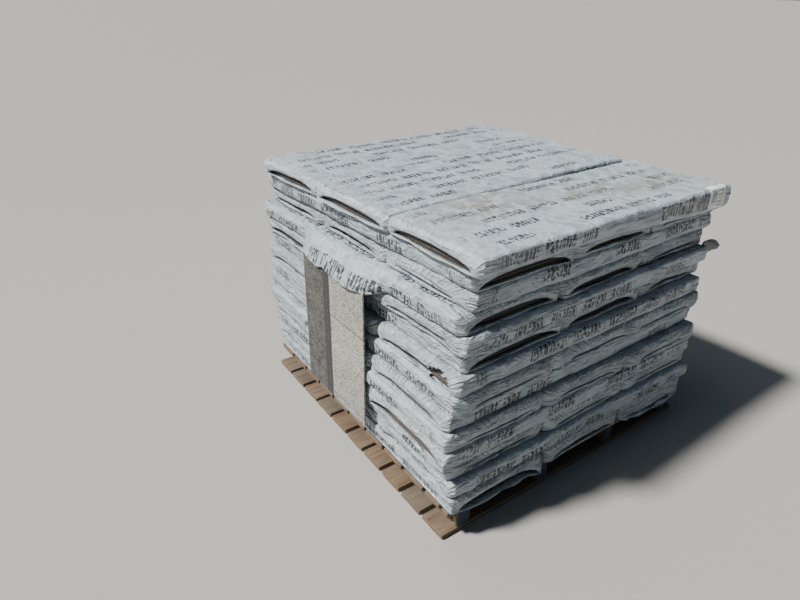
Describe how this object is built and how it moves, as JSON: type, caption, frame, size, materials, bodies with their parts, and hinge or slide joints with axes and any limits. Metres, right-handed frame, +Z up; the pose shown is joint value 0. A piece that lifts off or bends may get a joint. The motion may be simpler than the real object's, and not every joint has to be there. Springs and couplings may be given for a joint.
{
  "type": "pallet of asphalt shingle bundles",
  "caption": "Cross-stacked load of film-wrapped asphalt shingle bundles on a low double-deck wood pallet, with one loose shingle hanging down a side.",
  "frame": {"origin": "middle of the whole load's footprint, on the floor under the pallet", "axes": "+Z up; X along the deck boards and the top layer's bundles; Y along the stringers, so forks enter along Y; -Y is the face that the top bundles turn their long sides to, -X the face with the hanging shingle"},
  "size_m": [1.125, 1.1106, 0.7908],
  "materials": {
    "film": "crumpled film",
    "shingle": "granular",
    "loose_shingle": "granular",
    "deck_wood": "rough sawn, weathered",
    "stringer_wood": "rough sawn, ends painted"
  },
  "bodies": {
    "root": {"bottom_deck_boards": "deck_wood", "hanging_shingle": "loose_shingle", "shingles_layer_01": "shingle", "shingles_layer_02": "shingle", "shingles_layer_03": "shingle", "shingles_layer_04": "shingle", "shingles_layer_05": "shingle", "shingles_layer_06": "shingle", "shingles_layer_07": "shingle", "shingles_layer_08": "shingle", "shingles_layer_09": "shingle", "shingles_layer_10": "shingle", "shingles_layer_11": "shingle", "shingles_layer_12": "shingle", "shingles_layer_13": "shingle", "shingles_layer_14": "shingle", "stringer_1": "stringer_wood", "stringer_2": "stringer_wood", "stringer_3": "stringer_wood", "stringer_4": "stringer_wood", "top_deck_boards": "deck_wood", "wrapper_layer_01": "film", "wrapper_layer_02": "film", "wrapper_layer_03": "film", "wrapper_layer_04": "film", "wrapper_layer_05": "film", "wrapper_layer_06": "film", "wrapper_layer_07": "film", "wrapper_layer_08": "film", "wrapper_layer_09": "film", "wrapper_layer_10": "film", "wrapper_layer_11": "film", "wrapper_layer_12": "film", "wrapper_layer_13": "film", "wrapper_layer_14": "film"}
  },
  "joints": []
}
